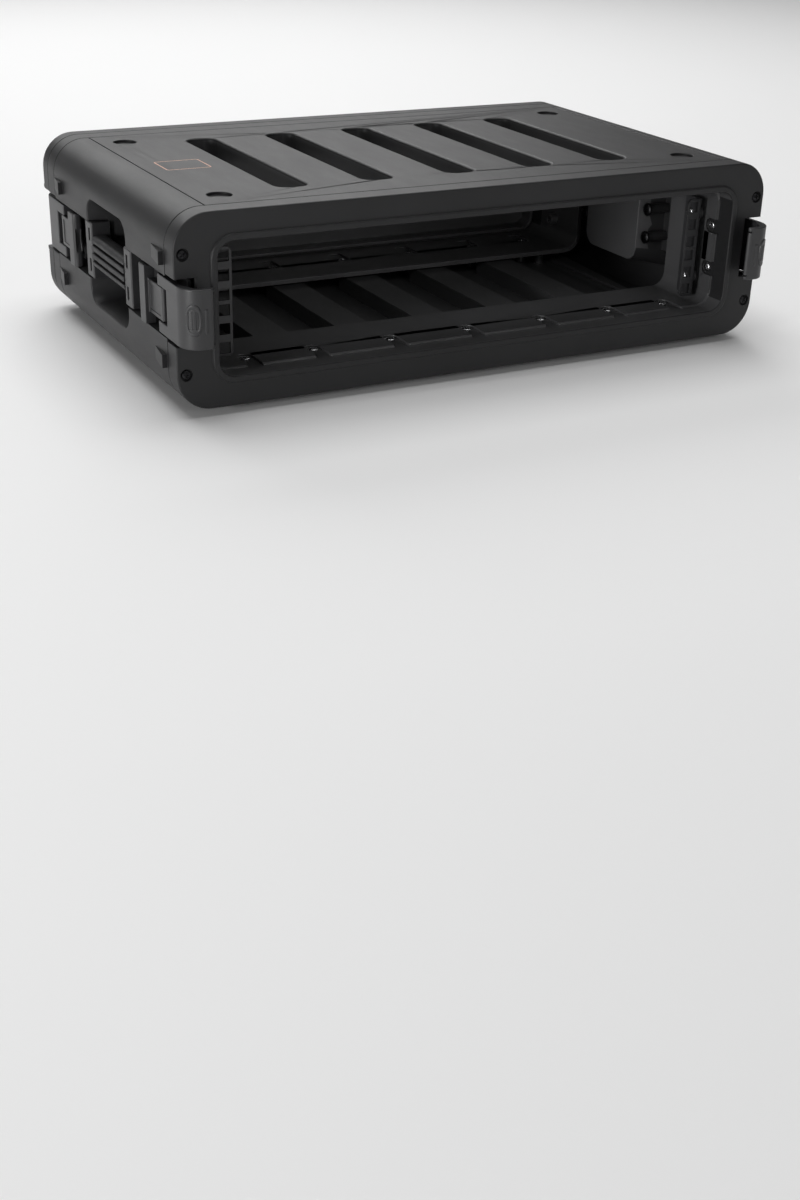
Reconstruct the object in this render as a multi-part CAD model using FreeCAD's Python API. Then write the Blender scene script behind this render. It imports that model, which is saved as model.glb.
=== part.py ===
import FreeCAD, Part
import os
from math import cos, pi, sin
from FreeCAD import Vector

# Stackable two-unit equipment rack case, in millimetres.
# X runs across the case, the front opening faces -Y, and Z = 0 is the ground under the feet.

# ---- 19-inch rack standard ----
HOLE_OFFSETS = (6.35, 22.225, 38.1)
HOLE_CENTRE_X = 232.55
CAGE_HOLE = 9.5
RAIL_INNER_X = 225.4
RAIL_OUTER_X = 241.0
RAIL_HALF_HEIGHT = 45.4
RAIL_GAUGE = 2.0
RAIL_RETURN = 22.0
RAIL_FRONT_Y = -134.0
RAIL_SCREW_Y = -121.0
RAIL_SCREW_DZ = 30.0
RAIL_SCREW_R = 2.5
RAIL_CORNER_CUT = 4.0

# ---- shell ----
HALF_WIDTH = 286.0
SHELL_HEIGHT = 159.0
FOOT_HEIGHT = 6.0
DIMPLE_DEPTH = 2.6
BASE_Z = FOOT_HEIGHT
TOP_Z = BASE_Z + SHELL_HEIGHT
CORNER_R = 30.0
WALL = 3.5
FACE_Y = 165.0
SEAM_Y = 145.5
SEAM_GAP = 0.3
SEAM_X = 251.5
LEDGE_X = 242.0
LEDGE_ROOT_X = 262.0
LEDGE_HALF_Y = 137.0
RACK_Z = BASE_Z + 77.0

# ---- opening of the two valance frames ----
THROAT_X = 248.8
THROAT_LOW = RACK_Z - 50.2
THROAT_HIGH = RACK_Z + 56.7
THROAT_R = 13.0
SLEEVE_T = 4.5
SLEEVE_DEPTH = 88.0
RIM_T = 5.4
RIM_PROUD = 2.2
FACE_T = 4.5
SKIRT_T = 4.6
SPIGOT_T = 2.5
SPIGOT_REACH = 6.0
SPIGOT_FIT = 0.2
MOUTH_GROW = 1.5
MOUTH_DEPTH = 15.0
MOUTH_CHAMFER = 3.0

# ---- side channel, latches and handles ----
CHANNEL_Z = RACK_Z + 4.5
CHANNEL_HALF = 25.4
CHANNEL_X = 268.0
NOTCH_HALF = 27.2
LATCH_Z = CHANNEL_Z - 1.0
LATCH_HALF = 24.0
POCKET_HALF_Y = 51.0
POCKET_LOW = RACK_Z - 42.0
POCKET_HIGH = RACK_Z + 51.0
POCKET_X = 240.0
POCKET_R = 14.0
POCKET_TAPER_Y = 11.0
POCKET_TAPER_Z = 10.0
POCKET_WALL = 3.2
BRACKET_IN_Y = 43.0
BRACKET_OUT_Y = 60.3
BRACKET_X = 285.2
GRIP_HALF_Z = 14.0
GRIP_OUT_X = 286.0
GRIP_IN_X = 270.5
BOLT_Y = 53.0
SLOT_Y = 50.0
BOLT_DZ = 13.5

# ---- long stacking grooves in the top and bottom panels ----
GROOVE_XS = (-158.6, -79.3, 0.0, 79.3, 158.6)
GROOVE_W = 29.0
GROOVE_HALF_Y = 109.0
GROOVE_DEPTH = 17.0
GROOVE_R = 11.0
GROOVE_WALL = 2.0
DIMPLE_R = 10.5
FOOT_X = 227.5
FOOT_Y = 115.0

# ---- fasteners ----
LIP_SCREW_XS = (-212.0, -150.0, -76.5, 0.0, 76.5, 150.0, 212.0)
LIP_SCREW_Y = 126.5
LIP_NOTCH_W = 13.6
LIP_NOTCH_DEPTH = 2.2
SIDE_SCREW_Y = 139.5
SIDE_SCREW_ZS = (RACK_Z - 17.8, RACK_Z + 21.4)
CORNER_SCREW_X = 278.0
CORNER_SCREW_ZS = (RACK_Z - 46.0, RACK_Z + 50.3)
SCREW_R = 2.0
SCREW_FIT = 0.05
HEAD_R = 4.1
HOLE_EASE = 0.2
BOSS_R = 4.5
CORNER_SINK_R = 5.2
CORNER_SINK_DEPTH = 2.4
BOLT_R = 2.5
BOLT_HEAD_X = 241.0
BOLT_HEAD_R = 6.2

# ---- raised wedge stops near the ends of the side panels: (tall end, flush end) along Y ----
STOP_ZS = (RACK_Z + 43.5, RACK_Z - 40.0)
STOP_HALF_Z = 5.5
STOP_RISE = 4.2
STOP_SPANS = ((-143.0, -116.0), (121.0, 145.0))

# ---- latch, seen from above as (s, t): s from the case centre, t back from the frame face ----
PIVOT = (276.2, 28.7)
LINK = (277.6, 36.7)
PIN_R = 1.6
PIN_PLAY = 0.05
KNUCKLE_R = 4.0
TONGUE_HALF = 13.8
TONGUE_S = (281.8, 284.9)
TONGUE_T = (30.5, 63.9)
TONGUE_TIP_R = 2.2
BAR_S = (279.5, 288.2)
BAR_T = (62.9, 78.4)
HOOK_ARM_S = (280.4, 285.4)
HOOK_END_T = 40.7
HOOK_FACE_T = -21.0
HOOK_BEND_S = 15.0
HOOK_BEND_T = 18.0
HOOK_CATCH_T = -14.9
LATCH_SCREW_T = 47.0
LATCH_SCREW_ZS = (LATCH_Z - 19.0, LATCH_Z + 19.0)
CHEEK_IN = 10.3
LUG_HALF = 9.8
WINDOW_HALF = 14.6
WINDOW_T = 21.0

# ---- rear lid ----
LID_DEPTH = 21.0
LID_WALL = 3.5
LID_EDGE_R = 8.0
LID_NOTCH_X = 270.0
LEDGE_DEPTH = 14.7
LID_GROOVE_DEPTH = 6.0
LID_PANEL_HALF = 236.0
LID_PANEL_INSET = 26.0
LID_PANEL_DEPTH = 1.6
GASKET_T = 3.6

PARTS = {}


def box(x0, x1, y0, y1, z0, z1):
    return Part.makeBox(x1 - x0, y1 - y0, z1 - z0, Vector(x0, y0, z0))


def cyl(r, start, direction, length):
    return Part.makeCylinder(r, length, Vector(*start), Vector(*direction))


def fused(shapes):
    whole = shapes[0].multiFuse(shapes[1:]) if len(shapes) > 1 else shapes[0]
    return whole.removeSplitter()


def cut(shape, tools):
    return shape.cut(Part.makeCompound(tools)) if tools else shape


def rounded_loop(half, low, high, r):
    """Corner points and arcs of a rounded rectangle, as (across, up) pairs."""
    k = r * (1.0 - cos(pi / 4.0))
    lines = (
        ((-half + r, low), (half - r, low), (half - k, low + k), (half, low + r)),
        ((half, low + r), (half, high - r), (half - k, high - k), (half - r, high)),
        ((half - r, high), (-half + r, high), (-half + k, high - k), (-half, high - r)),
        ((-half, high - r), (-half, low + r), (-half + k, low + k), (-half + r, low)),
    )
    return lines


def loop_wire(lines, place):
    edges = []
    for a, b, mid, end in lines:
        if (Vector(*place(a)) - Vector(*place(b))).Length > 1e-6:
            edges.append(Part.makeLine(Vector(*place(a)), Vector(*place(b))))
        edges.append(Part.Arc(Vector(*place(b)), Vector(*place(mid)), Vector(*place(end))).toShape())
    return Part.Wire(edges)


def slab(half_x, z0, z1, r, y0, y1):
    """Rounded rectangle in the XZ plane, drawn out along Y."""
    wire = loop_wire(rounded_loop(half_x, z0, z1, r), lambda p: (p[0], y0, p[1]))
    return Part.Face(wire).extrude(Vector(0, y1 - y0, 0))


def plate(cx, cy, half_x, half_y, r, z0, z1):
    """Rounded rectangle in the XY plane, drawn out along Z."""
    loop = rounded_loop(half_x, cy - half_y, cy + half_y, r)
    wire = loop_wire(loop, lambda p: (cx + p[0], p[1], z0))
    return Part.Face(wire).extrude(Vector(0, 0, z1 - z0))


def polygon_prism(points, z0, z1):
    """Closed outline of (x, y) points, drawn out along Z."""
    wire = Part.makePolygon([Vector(x, y, z0) for x, y in points + points[:1]])
    return Part.Face(wire).extrude(Vector(0, 0, z1 - z0))


def mirror_x(shape):
    return shape.mirror(Vector(0, 0, 0), Vector(1, 0, 0))


def mirror_y(shape):
    return shape.mirror(Vector(0, 0, 0), Vector(0, 1, 0))


def contour(offset, y0, y1):
    """Outside contour of the shell, moved inward by offset."""
    return slab(HALF_WIDTH - offset, BASE_Z + offset, TOP_Z - offset, CORNER_R - offset, y0, y1)


def throat(offset, y0, y1):
    """Rack opening, grown outward by offset."""
    return slab(THROAT_X + offset, THROAT_LOW - offset, THROAT_HIGH + offset, THROAT_R + offset, y0, y1)


def head_screw(start, direction, head_t, length, r=SCREW_R, head_r=HEAD_R):
    """Pan-head screw with a cross recess; start is where the head bears, direction is into the hole."""
    back = [-head_t * c for c in direction]
    crown = [start[i] + back[i] for i in range(3)]
    body = fused([cyl(r, start, direction, length), cyl(head_r, crown, direction, head_t)])
    slot_depth = head_t * 0.6
    arms = []
    for axis in range(3):
        if abs(direction[axis]) > 0.5:
            continue
        low = [crown[i] - 0.55 for i in range(3)]
        high = [crown[i] + 0.55 for i in range(3)]
        low[axis] = crown[axis] - head_r * 0.62
        high[axis] = crown[axis] + head_r * 0.62
        for i in range(3):
            if abs(direction[i]) > 0.5:
                inner = crown[i] + direction[i] * slot_depth
                outer = crown[i] - direction[i] * 1.0
                low[i] = min(inner, outer)
                high[i] = max(inner, outer)
        arms.append(box(low[0], high[0], low[1], high[1], low[2], high[2]))
    return cut(body, arms)


# ---- front and rear valance frames ----
def valance_frame():
    """Front frame: face, proud sealing rim, skirt, locating spigot and the deep sleeve behind."""
    front = -FACE_Y
    seam = -SEAM_Y
    skirt = contour(0, front, seam).cut(contour(SKIRT_T, front + FACE_T, seam))
    sleeve = throat(SLEEVE_T, front, front + SLEEVE_DEPTH)
    spigot = contour(WALL + SPIGOT_FIT, seam - SPIGOT_REACH, seam + SPIGOT_REACH)
    spigot = spigot.cut(contour(WALL + SPIGOT_FIT + SPIGOT_T, seam - SPIGOT_REACH, seam + SPIGOT_REACH))
    spigot_gaps = []
    for side in (-1, 1):
        x0, x1 = sorted((side * 258.0, side * HALF_WIDTH))
        spigot_gaps.append(box(x0, x1, seam - 7.0, seam + 7.0, CHANNEL_Z - 33.0, CHANNEL_Z + 33.0))
        for z in CORNER_SCREW_ZS:
            spigot_gaps.append(cyl(6.5, (side * CORNER_SCREW_X, seam - 7.0, z), (0, 1, 0), 14.0))
    spigot = cut(spigot, spigot_gaps)
    rim = throat(MOUTH_GROW + RIM_T, front - RIM_PROUD, front + 1.0)
    rim_edges = [e for e in rim.Edges if abs(e.CenterOfMass.y - (front - RIM_PROUD)) < 1e-6]
    rim = rim.makeFillet(1.4, rim_edges)
    frame = fused([skirt, sleeve, spigot, rim])
    tools = [throat(0, front - 5.0, front + SLEEVE_DEPTH + 1.0)]
    tools.append(throat(MOUTH_GROW, front - 5.0, front + MOUTH_DEPTH))
    step_end = front + MOUTH_DEPTH + MOUTH_CHAMFER
    step = throat(MOUTH_GROW, front + MOUTH_DEPTH - 0.1, step_end)
    step_edges = [e for e in step.Edges if abs(e.CenterOfMass.y - step_end) < 1e-6]
    tools.append(step.makeChamfer(MOUTH_GROW - 0.01, step_edges))
    for side in (-1, 1):
        x0, x1 = sorted((side * CHANNEL_X, side * (HALF_WIDTH + 1.0)))
        notch_z = (CHANNEL_Z - NOTCH_HALF, CHANNEL_Z + NOTCH_HALF)
        tools.append(box(x0, x1, front - 1.0, seam + 8.0, notch_z[0], notch_z[1]))
        for z in CORNER_SCREW_ZS:
            sink = (side * CORNER_SCREW_X, front - 1.0, z)
            tools.append(cyl(CORNER_SINK_R, sink, (0, 1, 0), 1.0 + CORNER_SINK_DEPTH))
            tools.append(cyl(SCREW_R + HOLE_EASE, sink, (0, 1, 0), 9.0))
        for z in SIDE_SCREW_ZS:
            floor_x = side * (THROAT_X + LIP_NOTCH_DEPTH)
            x0, x1 = sorted((side * (THROAT_X - 1.0), floor_x))
            tools.append(box(x0, x1, front + 14.0, -SIDE_SCREW_Y, z - 6.4, z + 6.4))
            start = (side * (THROAT_X - 1.0), -SIDE_SCREW_Y, z)
            tools.append(cyl(6.4, start, (side, 0, 0), 1.0 + LIP_NOTCH_DEPTH))
            tools.append(cyl(SCREW_R + HOLE_EASE, start, (side, 0, 0), 9.0))
        for dz in (-RAIL_SCREW_DZ, RAIL_SCREW_DZ):
            start = (side * (THROAT_X - 1.0), RAIL_SCREW_Y, RACK_Z + dz)
            tools.append(cyl(RAIL_SCREW_R + SCREW_FIT, start, (side, 0, 0), 12.0))
    for x in LIP_SCREW_XS:
        for lip_z, up in ((THROAT_LOW, -1), (THROAT_HIGH, 1)):
            z0, z1 = sorted((lip_z - up * 1.0, lip_z + up * LIP_NOTCH_DEPTH))
            half = LIP_NOTCH_W / 2.0
            tools.append(box(x - half, x + half, front + 14.0, -LIP_SCREW_Y, z0, z1))
            tools.append(cyl(half, (x, -LIP_SCREW_Y, z0), (0, 0, 1), z1 - z0))
            tools.append(cyl(SCREW_R + HOLE_EASE, (x, -LIP_SCREW_Y, lip_z), (0, 0, up), 8.0))
    frame = cut(frame, tools)
    bosses = []
    for side in (-1, 1):
        for dz in (-RAIL_SCREW_DZ, RAIL_SCREW_DZ):
            start = (side * RAIL_OUTER_X, RAIL_SCREW_Y, RACK_Z + dz)
            boss = cyl(6.0, start, (side, 0, 0), THROAT_X + 2.0 - RAIL_OUTER_X)
            bosses.append(boss.cut(cyl(RAIL_SCREW_R + SCREW_FIT, start, (side, 0, 0), 14.0)))
    return fused([frame] + bosses)


# ---- top and bottom panels ----
def flat_panel(is_top):
    """Panel between the side panels, with five long blind grooves and bosses for the lip screws."""
    z_out = TOP_Z if is_top else BASE_Z
    inward = -1.0 if is_top else 1.0

    def span(depth0, depth1):
        return sorted((z_out + inward * depth0, z_out + inward * depth1))

    half_x = SEAM_X - SEAM_GAP
    half_y = SEAM_Y - SEAM_GAP
    z0, z1 = span(0.0, WALL)
    solids = [box(-half_x, half_x, -half_y, half_y, z0, z1)]
    tools = []
    for x in GROOVE_XS:
        z0, z1 = span(0.5, GROOVE_DEPTH + GROOVE_WALL)
        grow = GROOVE_WALL
        solids.append(plate(x, 0.0, GROOVE_W / 2 + grow, GROOVE_HALF_Y + grow, GROOVE_R + grow, z0, z1))
        z0, z1 = span(-1.0, GROOVE_DEPTH)
        tools.append(plate(x, 0.0, GROOVE_W / 2, GROOVE_HALF_Y, GROOVE_R, z0, z1))
    if is_top:
        sleeve_gap = TOP_Z - THROAT_HIGH - SLEEVE_T
    else:
        sleeve_gap = THROAT_LOW - SLEEVE_T - BASE_Z
    for x in LIP_SCREW_XS:
        for y in (-LIP_SCREW_Y, LIP_SCREW_Y):
            z0, z1 = span(1.0, sleeve_gap)
            solids.append(cyl(BOSS_R, (x, y, z0), (0, 0, 1), z1 - z0))
            z0, z1 = span(WALL + 3.0, sleeve_gap + 1.0)
            tools.append(cyl(SCREW_R + SCREW_FIT, (x, y, z0), (0, 0, 1), z1 - z0))
    if is_top:
        boss_r, boss_depth = DIMPLE_R + 2.5, DIMPLE_DEPTH + 2.0
        hole_r, hole_depth = DIMPLE_R, DIMPLE_DEPTH
    else:
        boss_r, boss_depth = BOSS_R + 0.5, 12.0
        hole_r, hole_depth = SCREW_R + SCREW_FIT, 10.5
    for x in (-FOOT_X, FOOT_X):
        for y in (-FOOT_Y, FOOT_Y):
            z0, z1 = span(0.5, boss_depth)
            solids.append(cyl(boss_r, (x, y, z0), (0, 0, 1), z1 - z0))
            z0, z1 = span(-1.0, hole_depth)
            tools.append(cyl(hole_r, (x, y, z0), (0, 0, 1), z1 - z0))
    return cut(fused(solids), tools)


# ---- side panels ----
def pocket_loft(grow):
    """Tapered hand hollow behind the grip."""
    def wire(x, shrink_y, shrink_z):
        low = POCKET_LOW + shrink_z
        high = POCKET_HIGH - shrink_z
        loop = rounded_loop(POCKET_HALF_Y - shrink_y, low, high, POCKET_R)
        return loop_wire(loop, lambda p: (x, p[0], p[1]))

    outer = wire(HALF_WIDTH + 0.5, -grow, -grow)
    inner = wire(POCKET_X - grow, POCKET_TAPER_Y - grow, POCKET_TAPER_Z - grow)
    return Part.makeLoft([inner, outer], True, True)


def side_panel():
    """Right side panel with both long rounded edges, the recessed channel and the hand hollow."""
    half_y = SEAM_Y - SEAM_GAP
    envelope = contour(0, -half_y, half_y)
    right = box(SEAM_X, HALF_WIDTH + 1.0, -half_y - 1, half_y + 1, BASE_Z - 1, TOP_Z + 1)
    outer = envelope.common(right)
    inner = contour(WALL, -half_y - 1, half_y + 1)
    low = CHANNEL_Z - CHANNEL_HALF
    high = CHANNEL_Z + CHANNEL_HALF
    channel = box(CHANNEL_X, HALF_WIDTH + 1.0, -half_y - 1, half_y + 1, low, high)
    channel_back = box(CHANNEL_X - WALL, HALF_WIDTH - 1.0, -half_y, half_y, low - WALL, high + WALL)
    shell = outer.cut(inner.common(right))
    ledges = []
    for wall_z, inward in ((TOP_Z - WALL, -1.0), (BASE_Z + WALL, 1.0)):
        z0, z1 = sorted((wall_z + inward * 0.1, wall_z + inward * 3.5))
        ledges.append(box(LEDGE_X, LEDGE_ROOT_X, -LEDGE_HALF_Y, LEDGE_HALF_Y, z0, z1))
        z0, z1 = sorted((wall_z - inward * 1.5, wall_z + inward * 1.0))
        ledges.append(box(SEAM_X + 0.1, LEDGE_ROOT_X, -LEDGE_HALF_Y, LEDGE_HALF_Y, z0, z1))
    solids = [shell, channel_back, pocket_loft(POCKET_WALL).common(envelope)] + ledges
    tools = [channel, pocket_loft(0.0)]
    for sy in (-1, 1):
        for z in CORNER_SCREW_ZS:
            y0, y1 = sorted((sy * half_y, sy * (half_y - 24.0)))
            solids.append(cyl(4.4, (CORNER_SCREW_X, y0, z), (0, 1, 0), 24.0))
            solids.append(box(CORNER_SCREW_X, HALF_WIDTH - 2.0, y0, y1, z - 3.0, z + 3.0))
            tools.append(cyl(SCREW_R + SCREW_FIT, (CORNER_SCREW_X, y0 - 1, z), (0, 1, 0), 26.0))
        for z in SIDE_SCREW_ZS:
            start = (THROAT_X + SLEEVE_T, sy * SIDE_SCREW_Y, z)
            reach = CHANNEL_X - 1.0 - start[0]
            solids.append(cyl(BOSS_R, start, (1, 0, 0), reach))
            tools.append(cyl(SCREW_R + SCREW_FIT, (start[0] - 1, start[1], z), (1, 0, 0), reach))
        for z in LATCH_SCREW_ZS:
            start = (CHANNEL_X - 10.0, sy * (FACE_Y - LATCH_SCREW_T), z)
            solids.append(cyl(4.2, start, (1, 0, 0), 9.0))
            tools.append(cyl(SCREW_R + SCREW_FIT, (start[0] + 1.5, start[1], z), (1, 0, 0), 12.0))
        for dz in (-BOLT_DZ, BOLT_DZ):
            start = (BOLT_HEAD_X, sy * BOLT_Y, CHANNEL_Z + dz)
            solids.append(cyl(BOSS_R + 0.1, start, (1, 0, 0), CHANNEL_X - 1.0 - start[0]))
            tools.append(cyl(BOLT_R + 0.1, (start[0] - 1, start[1], start[2]), (1, 0, 0), 40.0))
    return cut(fused(solids), tools)


def side_stops():
    """Wedges standing proud of the right side panel, each with its tall end towards the front."""
    wedges = []
    root = HALF_WIDTH - 1.0
    for tall, flush in STOP_SPANS:
        outline = [(root, tall), (HALF_WIDTH + STOP_RISE, tall), (HALF_WIDTH + 0.2, flush), (root, flush)]
        for z in STOP_ZS:
            wedges.append(polygon_prism(outline, z - STOP_HALF_Z, z + STOP_HALF_Z))
    return wedges


# ---- latch ----
def at(point):
    """Place a latch (s, t) point at the right front corner."""
    return (point[0], -FACE_Y + point[1])


def latch_cyl(point, r, z0, z1):
    x, y = at(point)
    return cyl(r, (x, y, z0), (0, 0, 1), z1 - z0)


def latch_box(s0, s1, t0, t1, z0, z1):
    return box(s0, s1, -FACE_Y + t0, -FACE_Y + t1, z0, z1)


def latch_base():
    z = LATCH_Z
    floor = latch_box(CHANNEL_X, CHANNEL_X + 3.0, 10.0, 60.0, z - 24.0, z + 24.0)
    lug = latch_box(CHANNEL_X + 1.0, PIVOT[0], PIVOT[1] - KNUCKLE_R, PIVOT[1] + KNUCKLE_R,
                    z - LUG_HALF, z + LUG_HALF)
    body = fused([floor, lug, latch_cyl(PIVOT, KNUCKLE_R, z - LUG_HALF, z + LUG_HALF)])
    tools = [latch_cyl(PIVOT, PIN_R, z - 30, z + 30)]
    for screw_z in LATCH_SCREW_ZS:
        start = (CHANNEL_X + 1.0, -FACE_Y + LATCH_SCREW_T, screw_z)
        tools.append(cyl(HEAD_R + HOLE_EASE, start, (1, 0, 0), 4.0))
        tools.append(cyl(SCREW_R + HOLE_EASE, (CHANNEL_X - 1, start[1], screw_z), (1, 0, 0), 4.0))
    return cut(body, tools)


def latch_lever():
    z = LATCH_Z
    s0, s1 = TONGUE_S
    t0, t1 = TONGUE_T
    solids = [latch_box(s0, s1, t0, t1, z - TONGUE_HALF, z + TONGUE_HALF)]
    for sign in (-1, 1):
        z0, z1 = sorted((z + sign * CHEEK_IN, z + sign * TONGUE_HALF))
        solids.append(latch_cyl(PIVOT, KNUCKLE_R, z0, z1))
        solids.append(latch_cyl(LINK, KNUCKLE_R, z0, z1))
        solids.append(latch_box(PIVOT[0], s0 + 1.0, t0 + 0.1, t1, z0, z1))
        solids.append(latch_box(PIVOT[0] - 3.9, s0 - 1.0, PIVOT[1], LINK[1], z0, z1))
    bar = latch_box(BAR_S[0], BAR_S[1], BAR_T[0], BAR_T[1], z - LATCH_HALF, z + LATCH_HALF)
    ends = [e for e in bar.Edges if abs(e.CenterOfMass.z - z) < 1e-6]
    bar = bar.makeFillet(3.6, [e for e in ends if e.CenterOfMass.y > -FACE_Y + 70.0])
    solids.append(bar)
    body = fused(solids)
    tip = [e for e in body.Edges
           if abs(e.CenterOfMass.x - s1) < 1e-3 and abs(e.CenterOfMass.y + FACE_Y - t0) < 1e-3]
    body = body.makeFillet(TONGUE_TIP_R, tip)
    tools = [latch_cyl(PIVOT, PIN_R + PIN_PLAY, z - 30, z + 30)]
    tools.append(latch_cyl(LINK, PIN_R, z - 30, z + 30))
    return cut(body, tools)


def latch_hook():
    z = LATCH_Z
    s0, s1 = HOOK_ARM_S
    bend_t = HOOK_FACE_T + HOOK_BEND_T
    arm = [(s0, HOOK_END_T), (s1, HOOK_END_T), (s1, bend_t)]
    steps = 8
    bend = [(s1 - HOOK_BEND_S + HOOK_BEND_S * cos(a), bend_t - HOOK_BEND_T * sin(a))
            for a in [pi / 2 * i / steps for i in range(1, steps + 1)]]
    tip = [(265.6, HOOK_FACE_T), (262.4, -20.3), (260.1, -18.5), (259.0, -16.4), (259.5, -15.3)]
    inner = [(261.0, HOOK_CATCH_T), (271.5, HOOK_CATCH_T), (274.0, -13.2), (275.6, -10.0),
             (277.2, -6.0), (s0, -1.0)]
    outline = [at(p) for p in arm + bend + tip + inner]
    body = polygon_prism(outline, z - LATCH_HALF, z + LATCH_HALF)
    knuckle = latch_cyl(LINK, KNUCKLE_R, z - LATCH_HALF, z + LATCH_HALF)
    web = latch_box(LINK[0], s0 + 1.0, LINK[1] - KNUCKLE_R, HOOK_END_T, z - LATCH_HALF, z + LATCH_HALF)
    body = fused([body, knuckle, web])
    window = latch_box(270.0, 290.0, WINDOW_T, 50.0, z - WINDOW_HALF, z + WINDOW_HALF)
    return cut(body, [window, latch_cyl(LINK, PIN_R + PIN_PLAY, z - 30, z + 30)])


# ---- handle ----
def handle_frame():
    z = CHANNEL_Z
    solids = [box(274.0, 281.0, -BRACKET_OUT_Y + 2, BRACKET_OUT_Y - 2, z - 8.5, z + 8.5)]
    tools = []
    for sy in (-1, 1):
        y0, y1 = sorted((sy * BRACKET_IN_Y, sy * BRACKET_OUT_Y))
        bracket = box(CHANNEL_X, BRACKET_X, y0, y1, z - 24.8, z + 24.8)
        corners = [e for e in bracket.Edges if abs(e.CenterOfMass.x - BRACKET_X) < 1e-6]
        solids.append(bracket.makeFillet(1.5, corners))
        for dz in (-BOLT_DZ, BOLT_DZ):
            y = sy * SLOT_Y
            tools.append(box(BRACKET_X - 5.0, BRACKET_X + 1.0, y - 2.2, y + 2.2, z + dz - 5.5, z + dz + 5.5))
            tools.append(cyl(BOLT_R + SCREW_FIT, (260.0, sy * BOLT_Y, z + dz), (1, 0, 0), 16.2))
    return cut(fused(solids), tools)


def handle_grip():
    z = CHANNEL_Z
    half_y = BRACKET_IN_Y - 0.1
    body = box(GRIP_IN_X, GRIP_OUT_X, -half_y, half_y, z - GRIP_HALF_Z, z + GRIP_HALF_Z)
    long_edges = [e for e in body.Edges if abs(e.CenterOfMass.y) < 1e-6]
    body = body.makeFillet(4.5, long_edges)
    tools = [box(273.9, 281.1, -60, 60, z - 8.6, z + 8.6)]
    for dz in (-7.0, 0.0, 7.0):
        tools.append(box(GRIP_OUT_X - 2.2, GRIP_OUT_X + 1, -60, 60, z + dz - 1.4, z + dz + 1.4))
    return cut(body, tools)


# ---- rack rail ----
def rack_rail():
    low = RACK_Z - RAIL_HALF_HEIGHT
    high = RACK_Z + RAIL_HALF_HEIGHT
    front = box(RAIL_INNER_X, RAIL_OUTER_X, RAIL_FRONT_Y, RAIL_FRONT_Y + RAIL_GAUGE, low, high)
    side = box(RAIL_OUTER_X - RAIL_GAUGE, RAIL_OUTER_X, RAIL_FRONT_Y, RAIL_FRONT_Y + RAIL_RETURN, low, high)
    rail = fused([front, side])
    bend = [e for e in rail.Edges
            if abs(e.CenterOfMass.x - RAIL_OUTER_X) < 1e-6 and abs(e.CenterOfMass.y - RAIL_FRONT_Y) < 1e-6]
    rail = rail.makeFillet(1.8, bend)
    tools = []
    for dz in HOLE_OFFSETS:
        for sign in (-1, 1):
            z = RACK_Z + sign * dz
            half = CAGE_HOLE / 2.0
            tools.append(box(HOLE_CENTRE_X - half, HOLE_CENTRE_X + half, RAIL_FRONT_Y - 1,
                             RAIL_FRONT_Y + 3, z - half, z + half))
    for dz in (-RAIL_SCREW_DZ, RAIL_SCREW_DZ):
        start = (RAIL_OUTER_X - 4.0, RAIL_SCREW_Y, RACK_Z + dz)
        tools.append(cyl(RAIL_SCREW_R + HOLE_EASE, start, (1, 0, 0), 6.0))
    for z, up in ((low, 1), (high, -1)):
        x0 = RAIL_INNER_X - 1.0
        corner = [(x0, z), (x0 + RAIL_CORNER_CUT, z), (x0, z + up * RAIL_CORNER_CUT)]
        wire = Part.makePolygon([Vector(x, RAIL_FRONT_Y - 1, zz) for x, zz in corner + corner[:1]])
        tools.append(Part.Face(wire).extrude(Vector(0, 4, 0)))
    return cut(rail, tools)


# ---- rear lid and its seal ----
def rear_lid():
    back = FACE_Y + LID_DEPTH
    shell = contour(0, FACE_Y, back)
    rear_edges = [e for e in shell.Edges if abs(e.CenterOfMass.y - back) < 1e-6]
    shell = shell.makeFillet(LID_EDGE_R, rear_edges)
    hollow = contour(LID_WALL, FACE_Y - 1, back - LID_WALL)
    hollow_edges = [e for e in hollow.Edges if abs(e.CenterOfMass.y - (back - LID_WALL)) < 1e-6]
    hollow = hollow.makeFillet(LID_EDGE_R - LID_WALL, hollow_edges)
    lid = shell.cut(hollow)
    ring = throat(10.0, FACE_Y, back - 1.0).cut(throat(-3.0, FACE_Y, back - 1.0))
    low = CHANNEL_Z - NOTCH_HALF
    high = CHANNEL_Z + NOTCH_HALF
    solids = [lid, ring]
    groove_end = FACE_Y + LID_GROOVE_DEPTH
    groove = throat(MOUTH_GROW + RIM_T + 1.2, FACE_Y - 1, groove_end)
    tools = [groove.cut(throat(0.3, FACE_Y - 1, groove_end))]
    for side in (-1, 1):
        x0, x1 = sorted((side * (LID_NOTCH_X - LID_WALL), side * (HALF_WIDTH - 1.0)))
        solids.append(box(x0, x1, FACE_Y, back - 1.0, low - LID_WALL, high + LID_WALL))
        x0, x1 = sorted((side * LID_NOTCH_X, side * (HALF_WIDTH + 1.0)))
        tools.append(box(x0, x1, FACE_Y - 1, back + 1, low, high))
        x0, x1 = sorted((side * 252.0, side * (LID_NOTCH_X + 1.0)))
        tools.append(box(x0, x1, FACE_Y + LEDGE_DEPTH, back + 1, low, high))
    panel = slab(LID_PANEL_HALF, BASE_Z + LID_PANEL_INSET, TOP_Z - LID_PANEL_INSET, 12.0,
                 back - LID_PANEL_DEPTH, back + 1)
    tools.append(panel)
    for side in (-1, 1):
        x0, x1 = sorted((side * 248.0, side * (LID_NOTCH_X - LID_WALL + 1.0)))
        solids.append(box(x0, x1, FACE_Y + LEDGE_DEPTH - LID_WALL, back - 1.0, low - LID_WALL, high + LID_WALL))
    return cut(fused(solids), tools)


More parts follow.
